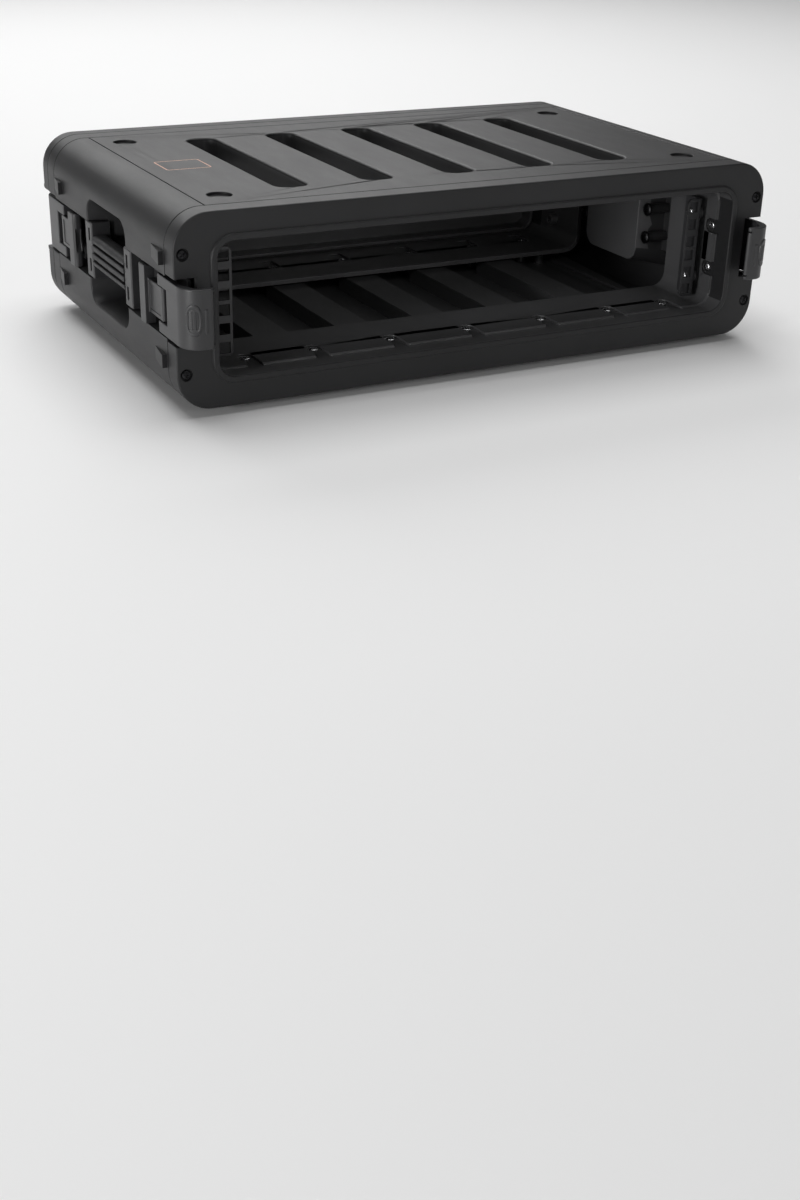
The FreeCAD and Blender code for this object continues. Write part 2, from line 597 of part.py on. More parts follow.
def lid_gasket():
    y1 = FACE_Y + LID_GROOVE_DEPTH
    y0 = y1 - GASKET_T
    outer = throat(MOUTH_GROW + RIM_T + 1.1, y0, y1)
    return outer.cut(throat(0.4, y0 - 1, y1 + 1))


# ---- feet ----
def foot(sx, sy):
    body = Part.makeCone(8.6, 9.6, FOOT_HEIGHT, Vector(sx * FOOT_X, sy * FOOT_Y, 0), Vector(0, 0, 1))
    tools = [cyl(HEAD_R + 0.3, (sx * FOOT_X, sy * FOOT_Y, -1), (0, 0, 1), 4.0),
             cyl(SCREW_R + HOLE_EASE, (sx * FOOT_X, sy * FOOT_Y, 0), (0, 0, 1), 8.0)]
    return cut(body, tools)


frame = valance_frame()
PARTS["front_frame"] = frame
PARTS["rear_frame"] = mirror_y(frame)
PARTS["top_panel"] = flat_panel(True)
PARTS["bottom_panel"] = flat_panel(False)
side = fused([side_panel()] + side_stops())
PARTS["right_side_panel"] = side
PARTS["left_side_panel"] = mirror_x(side)
PARTS["rear_lid"] = rear_lid()
PARTS["rear_lid_gasket"] = lid_gasket()

rail = rack_rail()
PARTS["right_rack_rail"] = rail
PARTS["left_rack_rail"] = mirror_x(rail)

handle = handle_frame()
grip = handle_grip()
PARTS["right_handle_frame"] = handle
PARTS["left_handle_frame"] = mirror_x(handle)
PARTS["right_handle_grip"] = grip
PARTS["left_handle_grip"] = mirror_x(grip)

LATCH_PARTS = {
    "latch_base": latch_base(),
    "latch_lever": latch_lever(),
    "latch_hook": latch_hook(),
    "latch_base_pin": latch_cyl(PIVOT, PIN_R, LATCH_Z - TONGUE_HALF + 0.2, LATCH_Z + TONGUE_HALF - 0.2),
    "latch_hook_pin": latch_cyl(LINK, PIN_R, LATCH_Z - LATCH_HALF + 0.6, LATCH_Z + LATCH_HALF - 0.6),
}
for name, shape in LATCH_PARTS.items():
    PARTS["front_right_" + name] = shape
    PARTS["front_left_" + name] = mirror_x(shape)
    PARTS["rear_right_" + name] = mirror_y(shape)
    PARTS["rear_left_" + name] = mirror_x(mirror_y(shape))

for front_back, sy in (("front", -1), ("rear", 1)):
    for left_right, sx in (("left", -1), ("right", 1)):
        PARTS[front_back + "_" + left_right + "_foot"] = foot(sx, sy)

corner_screws = []
side_screws = []
latch_screws = []
handle_bolts = []
rail_screws = []
lip_screws = []
foot_screws = []
for sx in (-1, 1):
    for sy in (-1, 1):
        for z in CORNER_SCREW_ZS:
            start = (sx * CORNER_SCREW_X, sy * (FACE_Y - CORNER_SINK_DEPTH), z)
            corner_screws.append(head_screw(start, (0, -sy, 0), 2.2, 30.0))
        for z in SIDE_SCREW_ZS:
            start = (sx * (THROAT_X + LIP_NOTCH_DEPTH), sy * SIDE_SCREW_Y, z)
            side_screws.append(head_screw(start, (sx, 0, 0), 2.0, 12.0))
        for z in LATCH_SCREW_ZS:
            start = (sx * (CHANNEL_X + 1.0), sy * (FACE_Y - LATCH_SCREW_T), z)
            latch_screws.append(head_screw(start, (-sx, 0, 0), 1.8, 8.5))
        for dz in (-BOLT_DZ, BOLT_DZ):
            start = (sx * BOLT_HEAD_X, sy * BOLT_Y, CHANNEL_Z + dz)
            handle_bolts.append(head_screw(start, (sx, 0, 0), 3.4, 34.5, r=BOLT_R, head_r=BOLT_HEAD_R))
        start = (sx * FOOT_X, sy * FOOT_Y, 3.0)
        foot_screws.append(head_screw(start, (0, 0, 1), 1.8, 11.5))
    for dz in (-RAIL_SCREW_DZ, RAIL_SCREW_DZ):
        start = (sx * (RAIL_OUTER_X - RAIL_GAUGE), RAIL_SCREW_Y, RACK_Z + dz)
        rail_screws.append(head_screw(start, (sx, 0, 0), 2.6, 13.0, r=RAIL_SCREW_R, head_r=4.6))
for x in LIP_SCREW_XS:
    for sy in (-1, 1):
        low = (x, sy * LIP_SCREW_Y, THROAT_LOW - LIP_NOTCH_DEPTH)
        high = (x, sy * LIP_SCREW_Y, THROAT_HIGH + LIP_NOTCH_DEPTH)
        lip_screws.append(head_screw(low, (0, 0, -1), 2.0, 16.0))
        lip_screws.append(head_screw(high, (0, 0, 1), 2.0, 16.0))

PARTS["frame_corner_screws"] = Part.makeCompound(corner_screws)
PARTS["frame_side_screws"] = Part.makeCompound(side_screws)
PARTS["frame_lip_screws"] = Part.makeCompound(lip_screws)
PARTS["rail_screws"] = Part.makeCompound(rail_screws)
PARTS["latch_screws"] = Part.makeCompound(latch_screws)
PARTS["handle_bolts"] = Part.makeCompound(handle_bolts)
PARTS["foot_screws"] = Part.makeCompound(foot_screws)

os.makedirs("parts", exist_ok=True)
for name, shape in PARTS.items():
    shape.exportStep("parts/" + name + ".step")
    size = shape.BoundBox
    print(name, len(shape.Solids), shape.isValid(), round(shape.Volume / 1000.0, 2),
          [round(v, 1) for v in (size.XMin, size.XMax, size.YMin, size.YMax, size.ZMin, size.ZMax)])
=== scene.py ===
import math

import bmesh
import bpy
from mathutils import Matrix, Vector


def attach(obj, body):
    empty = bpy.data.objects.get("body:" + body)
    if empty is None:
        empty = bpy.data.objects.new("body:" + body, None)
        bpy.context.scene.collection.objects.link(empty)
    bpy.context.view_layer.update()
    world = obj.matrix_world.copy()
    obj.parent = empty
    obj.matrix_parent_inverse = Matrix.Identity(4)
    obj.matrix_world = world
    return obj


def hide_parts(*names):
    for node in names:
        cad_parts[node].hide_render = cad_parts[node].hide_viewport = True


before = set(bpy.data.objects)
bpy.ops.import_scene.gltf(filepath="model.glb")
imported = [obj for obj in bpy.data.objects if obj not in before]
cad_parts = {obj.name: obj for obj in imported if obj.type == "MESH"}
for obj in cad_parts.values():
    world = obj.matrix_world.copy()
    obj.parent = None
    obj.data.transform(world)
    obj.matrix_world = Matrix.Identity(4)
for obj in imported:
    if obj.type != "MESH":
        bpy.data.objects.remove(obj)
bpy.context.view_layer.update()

# Two-unit moulded rack case. Shapes are written in millimetres and stored in metres.
# x runs to the right seen from the open front, y towards the rear lid, z up from the floor.
MM = 0.001

# ---- main dimensions, in mm ----
HALF_WIDTH = 286.0
BASE_Z = 6.0
TOP_Z = 165.0
FACE_Y = 165.0
CORNER_SCREW = (278.0, 37.0, 133.3)  # x, low z, high z
CORNER_RECESS_R = 6.2
CHANNEL_X = 268.0
CHANNEL_Z = 87.5
NOTCH_HALF = 27.2
GROOVE_FIELD = (180.0, 112.0)  # half extents in x and y of the panel area that holds the grooves
POCKET_HALF_Y = 52.0
STOP_ZS = (126.5, 43.0)
STOP_HALF_Z = 6.2
STOP_FROM_Y = 110.0
BAY_X = 248.9
BAY_LOW = 8.0
BAY_HIGH = 162.0
LID_WALL_Y = 18.0  # how far behind the frame's face the lid's inner wall may lie

# The panels are drawn in a little at their ends, which opens the seams to the frames and side panels.
SEAM_EASE = (0.9974, 0.9962)
SIDE_EASE = 0.9962

# ---- latch, as (s, t): s is the distance from the centre plane, t the distance behind the frame's face ----
LATCH_Z = 86.5
LATCH_HALF = 24.0
LINK = (277.6, 36.7)
PIN_R = 1.6
PIN_PLAY = 0.05
KNUCKLE_R = 4.0
WINDOW_HALF = 14.6
HOOK_FACE_T = -20.2
HOOK_ARM_S = (280.4, 285.4)
HOOK_END_T = 40.7
BEND_S = 15.0
BEND_T = 18.0
TIP_S = 264.6
TIP_R = 5.2
TIP_SLOT_Z = (19.3, 20.9)
HOOK_INNER = [(259.9, -15.3), (261.0, -14.9), (271.5, -14.9), (274.0, -13.2), (275.6, -10.0), (277.2, -6.0),
              (HOOK_ARM_S[0], -1.0)]
PAD_HALF = (6.7, 13.0)
PAD_OVAL_POWER = 2.6
PAD_GROOVE_PITCH = 3.1
RIDGE_S = 267.8
RIDGE_R = (1.15, 0.62)
RIDGE_FOOT = (0.9, 1.2)  # half width and depth of the part sunk in the hook
RIDGE_STEPS = ((75.2, 0.2), (75.6, 0.7), (76.6, 1.0), (93.0, 1.0), (93.4, 1.25), (94.6, 1.25), (95.0, 0.7))
BAR_END_T = 78.4
SCOOP_HALF = 12.0
SCOOP_DEPTH = 2.4

# ---- grips and screws ----
GRIP_GROOVES = (-7.0, 0.0, 7.0)
GRIP_GROOVE_WIDTH = 3.0
GRIP_GROOVE_DEPTH = 4.4
SCREW_SPIN = 37.0  # degrees between the recesses of neighbouring screws

# ---- widths of the rounded edges ----
FRAME_EDGE = 1.4
PANEL_EDGE = 2.4
SIDE_EDGE = 1.3
LID_EDGE = 0.9
SEAL_EDGE = 1.0
RAIL_EDGE = 0.3
BRACKET_EDGE = 0.6
GRIP_EDGE = 0.9
HOOK_EDGE = 0.9
LEVER_EDGE = 0.7
BASE_EDGE = 0.4
PIN_EDGE = 0.25
FOOT_EDGE = 0.7
SHARP_DEG = 32.0
FLAT_TOLERANCE = 2e-6
WELD = 2e-6

# ---- printed outline on the top panel, in metres like the texture space ----
BADGE_AT = (-0.2133, 0.0036)
BADGE_HALF = (0.0173, 0.0148)
BADGE_CORNER = 0.0025
BADGE_LINE = 0.00055
BADGE_FROM_Z = 0.1649
BADGE_COLOR = (0.80, 0.42, 0.27)


# ---- mesh helpers ----
def mesh_object(name, verts, faces):
    mesh = bpy.data.meshes.new(name)
    mesh.from_pydata([(x * MM, y * MM, z * MM) for x, y, z in verts], [], faces)
    obj = bpy.data.objects.new(name, mesh)
    bpy.context.scene.collection.objects.link(obj)
    return obj


def face_outward(obj):
    bm = bmesh.new()
    bm.from_mesh(obj.data)
    bmesh.ops.recalc_face_normals(bm, faces=bm.faces)
    bm.to_mesh(obj.data)
    bm.free()


def loft(name, rings):
    """Closed skin through rings that all have the same number of points."""
    count = len(rings[0])
    verts = [p for ring in rings for p in ring]
    faces = []
    for i in range(len(rings) - 1):
        for j in range(count):
            k = (j + 1) % count
            faces.append((i * count + j, i * count + k, (i + 1) * count + k, (i + 1) * count + j))
    faces.append(tuple(range(count)))
    faces.append(tuple(range((len(rings) - 1) * count, len(rings) * count)))
    obj = mesh_object(name, verts, faces)
    face_outward(obj)
    return obj


def placed(axis, a, b, along):
    """Point from two in-plane coordinates and one along the axis."""
    if axis == "x":
        return (along, a, b)
    if axis == "y":
        return (a, along, b)
    return (a, b, along)


def prism(name, outline, axis, start, end):
    return loft(name, [[placed(axis, a, b, at) for a, b in outline] for at in (start, end)])


def block(name, x, y, z):
    corners = [(x[0], y[0]), (x[1], y[0]), (x[1], y[1]), (x[0], y[1])]
    return prism(name, corners, "z", z[0], z[1])


def circle(ca, cb, r, sides=32):
    return [(ca + r * math.cos(2 * math.pi * i / sides), cb + r * math.sin(2 * math.pi * i / sides))
            for i in range(sides)]


def rod(name, centre, axis, r, start, end, sides=32):
    return prism(name, circle(centre[0], centre[1], r, sides), axis, start, end)


def bake(obj):
    """Make the modified shape the object's own mesh."""
    bpy.context.view_layer.update()
    graph = bpy.context.evaluated_depsgraph_get()
    mesh = bpy.data.meshes.new_from_object(obj.evaluated_get(graph))
    old = obj.data
    obj.modifiers.clear()
    obj.data = mesh
    bpy.data.meshes.remove(old)


def carve(obj, add=(), cut=()):
    for tools, operation in ((add, "UNION"), (cut, "DIFFERENCE")):
        for tool in tools:
            mod = obj.modifiers.new("carve", "BOOLEAN")
            mod.operation = operation
            mod.solver = "EXACT"
            mod.object = tool
    bake(obj)
    for tool in (*add, *cut):
        bpy.data.objects.remove(tool)


def joined(name, objs):
    """One object holding several separate shapes."""
    bm = bmesh.new()
    for o in objs:
        bm.from_mesh(o.data)
        bpy.data.objects.remove(o)
    mesh = bpy.data.meshes.new(name)
    bm.to_mesh(mesh)
    bm.free()
    whole = bpy.data.objects.new(name, mesh)
    bpy.context.scene.collection.objects.link(whole)
    return whole


def mirrored(name, obj, x=1, y=1):
    """Copy of obj mirrored across the case's centre planes."""
    copy = bpy.data.objects.new(name, obj.data.copy())
    bpy.context.scene.collection.objects.link(copy)
    copy.data.transform(Matrix.Diagonal((x, y, 1, 1)))
    if x * y < 0:
        copy.data.flip_normals()
    return copy


def edge_room(edge):
    """Widest bevel an edge can take before it reaches the next corner along its faces."""
    room = 1.0
    run = (edge.verts[1].co - edge.verts[0].co).normalized()
    for loop in edge.link_loops:
        for other in (loop.link_loop_prev.edge, loop.link_loop_next.edge):
            side = (other.verts[1].co - other.verts[0].co).normalized()
            lean = run.cross(side).length
            if lean > 0.5:
                room = min(room, 0.42 * other.calc_length() * lean)
    return room


def soften(obj, width, segments=3, rule=None):
    """Round every sharp edge and shade the result.

    rule(mid) gives an edge's share of width, by its middle in mm.
    """
    bm = bmesh.new()
    bm.from_mesh(obj.data)
    bmesh.ops.remove_doubles(bm, verts=bm.verts, dist=WELD)
    bmesh.ops.triangulate(bm, faces=[face for face in bm.faces if len(face.verts) > 4])
    layer = bm.edges.layers.float.new("bevel_weight_edge")
    for edge in bm.edges:
        if len(edge.link_faces) != 2:
            continue
        if math.degrees(edge.calc_face_angle(0.0)) < SHARP_DEG:
            continue
        mid = (edge.verts[0].co + edge.verts[1].co) / 2 / MM
        share = rule(mid) if rule else 1.0
        edge[layer] = min(share, edge_room(edge) / (width * MM))
    bm.to_mesh(obj.data)
    bm.free()
    mod = obj.modifiers.new("bevel", "BEVEL")
    mod.limit_method = "WEIGHT"
    mod.width = width * MM
    mod.segments = segments
    mod.use_clamp_overlap = False
    bake(obj)
    smooth(obj)


def flat_normal(face, verts):
    """Normal of a face that is square to one of the case's axes, or None."""
    for axis in range(3):
        values = [verts[i].co[axis] for i in face.vertices]
        if max(values) - min(values) < FLAT_TOLERANCE and abs(face.normal[axis]) > 0.5:
            normal = Vector((0.0, 0.0, 0.0))
            normal[axis] = math.copysign(1.0, face.normal[axis])
            return normal
    return None


def smooth(obj):
    """Shade smooth, keep sharp edges, and let flat faces be exactly flat up to their borders."""
    obj.data.shade_smooth()
    bm = bmesh.new()
    bm.from_mesh(obj.data)
    for edge in bm.edges:
        if len(edge.link_faces) == 2:
            edge.smooth = math.degrees(edge.calc_face_angle(0.0)) < SHARP_DEG + 6.0
    bm.to_mesh(obj.data)
    bm.free()
    mod = obj.modifiers.new("normals", "WEIGHTED_NORMAL")
    mod.keep_sharp = True
    mod.weight = 80
    bake(obj)
    mesh = obj.data
    normals = [corner.vector.copy() for corner in mesh.corner_normals]
    flat = [flat_normal(face, mesh.vertices) for face in mesh.polygons]
    at_vert = {}
    for face, normal in zip(mesh.polygons, flat):
        if normal:
            for i in face.vertices:
                at_vert.setdefault(i, []).append(normal)
    for face, normal in zip(mesh.polygons, flat):
        for corner in face.loop_indices:
            if normal:
                normals[corner] = normal
                continue
            for near in at_vert.get(mesh.loops[corner].vertex_index, ()):
                if normals[corner].dot(near) > 0.9:
                    normals[corner] = near
                    break
    mesh.normals_split_custom_set(normals)


def copy_of(node, name):
    """Copy of a CAD node's mesh, to be given its finer shape."""
    copy = bpy.data.objects.new(name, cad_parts[node].data.copy())
    bpy.context.scene.collection.objects.link(copy)
    copy.data.materials.clear()
    return copy


def paint_bay_light(obj, reach):
    """Give the faces in the rack bay a lighter copy of the shell plastic, up to reach from the middle along
    y; its lighter colour is painted light for the bay, which the lamps hardly reach.
    """
    obj.data.materials.append(BAY_PAINTED_LIGHT)
    for face in obj.data.polygons:
        middle = face.center / MM
        if abs(middle.x) < BAY_X and BAY_LOW < middle.z < BAY_HIGH and abs(middle.y) < reach:
            face.material_index = 1


def install(obj, body, material, slot, *nodes):
    obj.data.materials.clear()
    obj.data.materials.append(material)
    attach(obj, body)
    if nodes:
        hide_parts(*nodes)
    return obj


# ---- materials ----
class Nodes:
    """A new material, with short calls that add and wire its nodes."""

    def __init__(self, name):
        self.mat = bpy.data.materials.new(name)
        self.mat.use_nodes = True
        self.tree = self.mat.node_tree
        self.shader = self.tree.nodes["Principled BSDF"]
        self.coords = self.tree.nodes.new("ShaderNodeTexCoord")

    def link(self, a, b):
        self.tree.links.new(a, b)

    def noise(self, scale, detail=3.0, rough=0.55, stretch=None):
        node = self.tree.nodes.new("ShaderNodeTexNoise")
        node.inputs["Scale"].default_value = scale
        node.inputs["Detail"].default_value = detail
        node.inputs["Roughness"].default_value = rough
        source = self.coords.outputs["Object"]
        if stretch:
            mapping = self.tree.nodes.new("ShaderNodeMapping")
            mapping.inputs["Scale"].default_value = stretch
            self.link(source, mapping.inputs["Vector"])
            source = mapping.outputs["Vector"]
        self.link(source, node.inputs["Vector"])
        return node.outputs["Fac"]

    def math(self, kind, a, b=None, c=None):
        node = self.tree.nodes.new("ShaderNodeMath")
        node.operation = kind
        for i, value in enumerate((a, b, c)):
            if value is None:
                continue
            if isinstance(value, (int, float)):
                node.inputs[i].default_value = value
            else:
                self.link(value, node.inputs[i])
        return node.outputs[0]

    def ramp(self, fac, stops):
        node = self.tree.nodes.new("ShaderNodeValToRGB")
        for element, (at, color) in zip(node.color_ramp.elements, stops):
            element.position = at
            element.color = (*color, 1.0)
        for at, color in stops[2:]:
            element = node.color_ramp.elements.new(at)
            element.color = (*color, 1.0)
        self.link(fac, node.inputs["Fac"])
        return node.outputs["Color"]

    def span(self, fac, low, high, from_low=0.3, from_high=0.7):
        node = self.tree.nodes.new("ShaderNodeMapRange")
        node.inputs["From Min"].default_value = from_low
        node.inputs["From Max"].default_value = from_high
        node.inputs["To Min"].default_value = low
        node.inputs["To Max"].default_value = high
        self.link(fac, node.inputs["Value"])
        return node.outputs["Result"]

    def bump(self, height, strength, distance, normal=None):
        node = self.tree.nodes.new("ShaderNodeBump")
        node.inputs["Strength"].default_value = strength
        node.inputs["Distance"].default_value = distance
        self.link(height, node.inputs["Height"])
        if normal:
            self.link(normal, node.inputs["Normal"])
        return node.outputs["Normal"]

    def mix(self, fac, a, b):
        node = self.tree.nodes.new("ShaderNodeMix")
        node.data_type = "RGBA"
        self.link(fac, node.inputs["Factor"])
        for socket, value in ((node.inputs[6], a), (node.inputs[7], b)):
            if isinstance(value, tuple):
                socket.default_value = (*value, 1.0)
            else:
                self.link(value, socket)
        return node.outputs[2]


def moulded(name, dark, light, rough, grain, specular=0.45, badge=False):
    """Moulded plastic: fine eroded grain, faint flow variation and slightly uneven polish."""
    n = Nodes(name)
    flow = n.noise(7.0, 3.0, 0.6)
    fine = n.noise(1500.0, 2.0, 0.6)
    scuff = n.noise(60.0, 4.0, 0.7, (1.0, 0.25, 1.0))
    color = n.ramp(flow, [(0.3, dark), (0.7, light)])
    wear = n.math("MULTIPLY_ADD", scuff, 0.5, n.math("MULTIPLY", flow, 0.5))
    polish = n.span(wear, rough - 0.05, rough + 0.05)
    if badge:
        color, polish = printed_outline(n, color, polish)
    n.link(color, n.shader.inputs["Base Color"])
    n.link(polish, n.shader.inputs["Roughness"])
    n.shader.inputs["Specular IOR Level"].default_value = specular
    soft = n.bump(n.noise(180.0, 2.0, 0.5), 0.10, 0.0001)
    n.link(n.bump(fine, grain, 0.00006, soft), n.shader.inputs["Normal"])
    return n.mat


def printed_outline(n, color, polish):
    """A thin blank printed frame with rounded corners, on the left of the top panel."""
    split = n.tree.nodes.new("ShaderNodeSeparateXYZ")
    n.link(n.coords.outputs["Object"], split.inputs[0])
    beyond = []
    for i in (0, 1):
        offset = n.math("ABSOLUTE", n.math("ADD", split.outputs[i], -BADGE_AT[i]))
        beyond.append(n.math("SUBTRACT", offset, BADGE_HALF[i]))
    dx, dy = beyond
    ox = n.math("MAXIMUM", dx, 0.0)
    oy = n.math("MAXIMUM", dy, 0.0)
    outside = n.math("SQRT", n.math("ADD", n.math("MULTIPLY", ox, ox), n.math("MULTIPLY", oy, oy)))
    inside = n.math("MINIMUM", n.math("MAXIMUM", dx, dy), 0.0)
    distance = n.math("SUBTRACT", n.math("ADD", outside, inside), BADGE_CORNER)
    line = n.math("LESS_THAN", n.math("ABSOLUTE", distance), BADGE_LINE)
    on_top = n.math("GREATER_THAN", split.outputs[2], BADGE_FROM_Z)
    wear = n.span(n.noise(350.0, 2.0), 0.55, 1.0)
    fac = n.math("MULTIPLY", n.math("MULTIPLY", line, on_top), wear)
    color = n.mix(fac, color, BADGE_COLOR)
    polish = n.math("SUBTRACT", polish, n.math("MULTIPLY", fac, 0.08))
    return color, polish


def metal(name, dark, light, rough, scale=400.0):
    n = Nodes(name)
    n.shader.inputs["Metallic"].default_value = 1.0
    n.link(n.ramp(n.noise(scale, 3.0), [(0.3, dark), (0.7, light)]), n.shader.inputs["Base Color"])
    n.link(n.span(n.noise(scale * 0.4, 3.0), rough - 0.08, rough + 0.08), n.shader.inputs["Roughness"])
    n.link(n.bump(n.noise(scale * 3.0, 2.0), 0.15, 0.00003), n.shader.inputs["Normal"])
    return n.mat


def powder_coat(name):
    n = Nodes(name)
    n.link(n.ramp(n.noise(40.0), [(0.3, (0.020, 0.020, 0.021)), (0.7, (0.030, 0.030, 0.032))]),
           n.shader.inputs["Base Color"])
    n.link(n.span(n.noise(90.0), 0.34, 0.46), n.shader.inputs["Roughness"])
    n.shader.inputs["Specular IOR Level"].default_value = 0.5
    orange = n.noise(900.0, 2.0, 0.5)
    n.link(n.bump(orange, 0.35, 0.00008), n.shader.inputs["Normal"])
    return n.mat


def rubber(name, tone, rough, grain):
    n = Nodes(name)
    dark = tuple(0.8 * c for c in tone)
    light = tuple(1.25 * c for c in tone)
    n.link(n.ramp(n.noise(25.0, 4.0), [(0.3, dark), (0.7, light)]), n.shader.inputs["Base Color"])
    n.link(n.span(n.noise(120.0), rough - 0.06, rough + 0.06), n.shader.inputs["Roughness"])
    n.shader.inputs["Specular IOR Level"].default_value = 0.35
    n.link(n.bump(n.noise(1100.0, 3.0), grain, 0.00008), n.shader.inputs["Normal"])
    return n.mat


def foam(name):
    n = Nodes(name)
    cells = n.tree.nodes.new("ShaderNodeTexVoronoi")
    cells.inputs["Scale"].default_value = 1200.0
    n.link(n.coords.outputs["Object"], cells.inputs["Vector"])
    n.link(n.ramp(n.noise(60.0), [(0.3, (0.016, 0.016, 0.016)), (0.7, (0.028, 0.028, 0.028))]),
           n.shader.inputs["Base Color"])
    n.link(n.span(n.noise(200.0), 0.82, 0.95), n.shader.inputs["Roughness"])
    n.link(n.bump(cells.outputs["Distance"], 0.5, 0.0002), n.shader.inputs["Normal"])
    return n.mat


SHELL_LOOK = ((0.014, 0.014, 0.0145), (0.020, 0.020, 0.021), 0.46, 0.30, 0.34)
SHELL = moulded("shell_grain", *SHELL_LOOK)
TOP_SHELL = moulded("shell_grain_printed", *SHELL_LOOK, badge=True)
LATCH = moulded("latch_satin", (0.024, 0.024, 0.025), (0.034, 0.034, 0.036), 0.40, 0.12, 0.5)
# lighter, slightly glossier copy of the shell plastic: the lighter colour is painted light for the rack bay,
# which the lamps hardly reach
BAY_PAINTED_LIGHT = moulded("shell_bay_painted_light", (0.050, 0.050, 0.051), (0.068, 0.068, 0.070), 0.34, 0.12, 0.5)
GRIP = rubber("grip_rubber", (0.024, 0.024, 0.025), 0.55, 0.4)
FOOT = rubber("foot_rubber", (0.018, 0.018, 0.018), 0.75, 0.5)
FOAM = foam("seal_foam")
RAIL = powder_coat("rail_coat")
BLACK_SCREW = metal("black_screw", (0.018, 0.018, 0.019), (0.045, 0.045, 0.047), 0.38)
BRIGHT_SCREW = metal("zinc_screw", (0.42, 0.42, 0.43), (0.62, 0.62, 0.63), 0.28)
PIN = metal("pin_steel", (0.45, 0.45, 0.46), (0.60, 0.60, 0.61), 0.25, 700.0)


def step_up(value, start, width):
    """Smooth step from 0 to 1."""
    share = min(1.0, max(0.0, (value - start) / width))
    return share * share * (3.0 - 2.0 * share)


# ---- front and rear frames ----
def frame_share(mid):
    """Broad rounding on the face's outer edge, crisp screw recesses, slight rounding elsewhere."""
    x, z = abs(mid.x), mid.z
    screw = min(math.hypot(x - CORNER_SCREW[0], z - at_z) for at_z in CORNER_SCREW[1:])
    if screw < CORNER_RECESS_R:
        return 0.12
    if abs(mid.y) > FACE_Y + 1.0:
        return 0.8
    near_edge = x > HALF_WIDTH - 9.0 or z > TOP_Z - 9.0 or z < BASE_Z + 9.0
    in_notch = x > CHANNEL_X - 0.5 and abs(z - CHANNEL_Z) < NOTCH_HALF + 0.5
    if abs(abs(mid.y) - FACE_Y) < 0.1 and near_edge and not in_notch:
        return 1.0
    return 0.42


for node in ("front_frame", "rear_frame"):
    valance = copy_of(node, node + "_moulding")
    soften(valance, FRAME_EDGE, 4, frame_share)
    install(valance, "case", SHELL, "shell_plastic", node)
    paint_bay_light(valance, FACE_Y - 1.0)


# ---- panels ----
def panel_share(mid):
    """Deep soft shoulders on the long grooves, a small rounding on every other edge."""
    on_face = abs(mid.z - TOP_Z) < 0.1 or abs(mid.z - BASE_Z) < 0.1
    if on_face and abs(mid.x) < GROOVE_FIELD[0] and abs(mid.y) < GROOVE_FIELD[1]:
        return 1.0
    return 0.24


for node in ("top_panel", "bottom_panel"):
    panel = copy_of(node, node + "_moulding")
    panel.data.transform(Matrix.Diagonal((*SEAM_EASE, 1.0, 1.0)))
    soften(panel, PANEL_EDGE, 4, panel_share)
    install(panel, "case", TOP_SHELL if node == "top_panel" else SHELL, "shell_plastic", node)
    paint_bay_light(panel, FACE_Y - 1.0)


def side_share(mid):
    """Full rounding round the hand pocket's rim, crisp wedge roots, slight rounding elsewhere."""
    by_stop = any(abs(mid.z - z) < STOP_HALF_Z for z in STOP_ZS)
    if by_stop and HALF_WIDTH - 0.3 < abs(mid.x) < HALF_WIDTH + 1.0 and abs(mid.y) > STOP_FROM_Y:
        return 0.03
    if abs(mid.x) > HALF_WIDTH - 0.2 and abs(mid.y) < POCKET_HALF_Y:
        return 1.0 - 0.4 * step_up(abs(mid.z - CHANNEL_Z), 34.0, 10.0)
    return 0.45


for side in ("left", "right"):
    panel = copy_of(side + "_side_panel", side + "_side_moulding")
    panel.data.transform(Matrix.Diagonal((1.0, SIDE_EASE, 1.0, 1.0)))
    soften(panel, SIDE_EDGE, 3, side_share)
    install(panel, "case", SHELL, "shell_plastic", side + "_side_panel")
    paint_bay_light(panel, FACE_Y - 1.0)

lid = copy_of("rear_lid", "rear_lid_moulding")
soften(lid, LID_EDGE, 3)
install(lid, "rear_lid", SHELL, "shell_plastic", "rear_lid")
paint_bay_light(lid, FACE_Y + LID_WALL_Y)
gasket = copy_of("rear_lid_gasket", "rear_lid_seal")
soften(gasket, SEAL_EDGE, 3)
install(gasket, "rear_lid", FOAM, "seal_foam", "rear_lid_gasket")


# ---- rails and handles ----
for side, sign in (("left", -1), ("right", 1)):
    rail = copy_of(side + "_rack_rail", side + "_steel_rail")
    soften(rail, RAIL_EDGE, 2)
    install(rail, "case", RAIL, "rail_steel", side + "_rack_rail")
    bracket = copy_of(side + "_handle_frame", side + "_handle_bracket")
    soften(bracket, BRACKET_EDGE, 3)
    install(bracket, "case", LATCH, "latch_plastic", side + "_handle_frame")
    grip = copy_of(side + "_handle_grip", side + "_ribbed_grip")
    slots = []
    for rise in GRIP_GROOVES:
        low = CHANNEL_Z + rise - GRIP_GROOVE_WIDTH / 2
        spread = sorted((sign * (HALF_WIDTH - GRIP_GROOVE_DEPTH), sign * (HALF_WIDTH + 2.0)))
        slots.append(block("groove_tool", spread, (-60.0, 60.0), (low, low + GRIP_GROOVE_WIDTH)))
    carve(grip, cut=slots)
    soften(grip, GRIP_EDGE, 3)
    install(grip, "case", GRIP, "grip_rubber", side + "_handle_grip")


# ---- latches: made for the right front corner, mirrored to the other three ----
def at_latch(points):
    """Latch (s, t) points in the case's own x and y."""
    return [(s, -FACE_Y + t) for s, t in points]


def latch_block(s, t, z):
    return block("latch_tool", s, (-FACE_Y + t[0], -FACE_Y + t[1]), z)


def on_bend(angle, lift=0.0):
    """Point on the hook's bend, or a little off it along the surface normal."""
    c, s = math.cos(angle), math.sin(angle)
    normal = Vector((c / BEND_S, -s / BEND_T)).normalized()
    return (HOOK_ARM_S[1] - BEND_S + BEND_S * c + lift * normal.x,
            HOOK_FACE_T + BEND_T - BEND_T * s + lift * normal.y)


